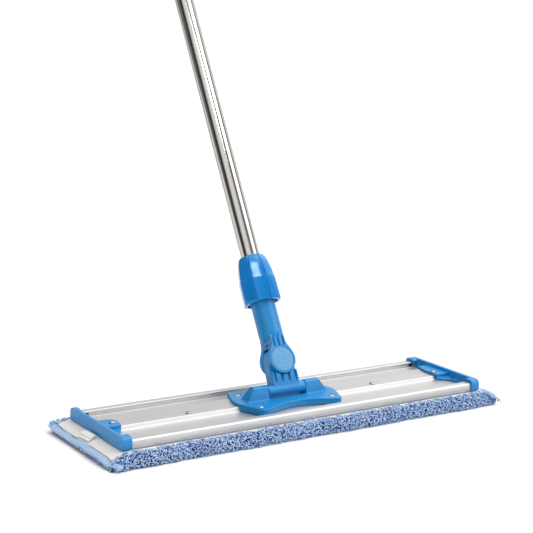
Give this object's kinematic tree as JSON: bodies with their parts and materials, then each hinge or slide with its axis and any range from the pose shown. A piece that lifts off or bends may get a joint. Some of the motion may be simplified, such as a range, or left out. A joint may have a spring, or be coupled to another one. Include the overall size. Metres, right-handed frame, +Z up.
{
  "type": "flat mop",
  "caption": "Flat floor mop: microfibre pad on an aluminium frame, two-axis joint and telescopic steel handle with twist-lock collars.",
  "frame": {"origin": "on the floor, under the centre of the pad, at the middle of the pile's underside", "axes": "+X along the frame to the user's right, -Y the front long edge, +Z up; the handle leans 29.5 degrees back towards +Y"},
  "size_m": [0.524, 0.6574, 1.0511],
  "materials": {
    "pile": "curly loop pile microfibre, mixed light and dark blue",
    "backing": "white brushed loop backing",
    "binding": "light blue woven binding tape",
    "tag": "plain woven satin tag",
    "hook_tape": "black hook tape",
    "aluminium": "satin anodised extrusion",
    "stainless_steel": "polished stainless tube",
    "zinc_steel": "zinc-plated steel",
    "blue_plastic": "fine-textured moulded polypropylene",
    "blue_gloss_plastic": "polished moulded plastic",
    "light_blue_plastic": "satin moulded plastic",
    "grey_plastic": "natural acetal",
    "grip_rubber": "matt ribbed grip"
  },
  "bodies": {
    "pad": {"pad_pile": "pile", "pad_backing": "backing", "pad_binding_left": "binding", "pad_binding_right": "binding", "pad_tag": "tag"},
    "head": {"frame_extrusion": "aluminium", "hook_strip_front": "hook_tape", "hook_strip_rear": "hook_tape", "end_cap_left": "blue_plastic", "end_cap_right": "blue_plastic", "cap_screw_left": "zinc_steel", "cap_screw_right": "zinc_steel", "plate_rivet_left": "zinc_steel", "plate_rivet_right": "zinc_steel", "yoke_plate": "blue_plastic", "yoke_screw_1": "zinc_steel", "yoke_screw_2": "zinc_steel", "yoke_screw_3": "zinc_steel", "yoke_screw_4": "zinc_steel", "tilt_pin": "zinc_steel"},
    "knuckle": {"lower_knuckle": "blue_plastic", "friction_washer_front": "grey_plastic", "friction_washer_rear": "grey_plastic"},
    "socket": {"handle_socket": "blue_plastic", "swivel_bolt": "zinc_steel", "swivel_nut": "zinc_steel", "pivot_cap_front": "light_blue_plastic", "pivot_cap_rear": "light_blue_plastic"},
    "lower_collar": {"lock_collar": "blue_gloss_plastic"},
    "pole": {"outer_tube": "stainless_steel", "telescope_collet": "blue_plastic"},
    "upper_collar": {"telescope_collar": "blue_gloss_plastic"},
    "inner_pole": {"inner_tube": "stainless_steel", "guide_bush": "grey_plastic", "grip": "grip_rubber", "grip_cap": "blue_plastic"}
  },
  "joints": [
    {"name": "pad_release", "type": "slide", "parent": "pad", "child": "head", "axis": [0, 0, 1], "range_m": [0, 0.05]},
    {"name": "handle_tilt", "type": "hinge", "parent": "head", "child": "knuckle", "pos_m": [0, 0, 0.0347], "axis": [1, 0, 0], "range_deg": [-40, 99]},
    {"name": "handle_swivel", "type": "hinge", "parent": "knuckle", "child": "socket", "pos_m": [0, 0.01625, 0.06342], "axis": [0, -0.8704, 0.4924], "range_deg": [-65, 65]},
    {"name": "lock_collar_twist", "type": "hinge", "parent": "socket", "child": "lower_collar", "pos_m": [0, 0.05101, 0.12487], "axis": [0, 0.4924, 0.8704], "range_deg": [0, 120]},
    {"name": "pole_pull", "type": "slide", "parent": "socket", "child": "pole", "axis": [0, 0.4924, 0.8704], "range_m": [0, 0.09]},
    {"name": "telescope_collar_twist", "type": "hinge", "parent": "pole", "child": "upper_collar", "pos_m": [0, 0.4422, 0.81628], "axis": [0, 0.4924, 0.8704], "range_deg": [0, 120]},
    {"name": "telescope_slide", "type": "slide", "parent": "pole", "child": "inner_pole", "axis": [0, 0.4924, 0.8704], "range_m": [0, 0.5]}
  ]
}
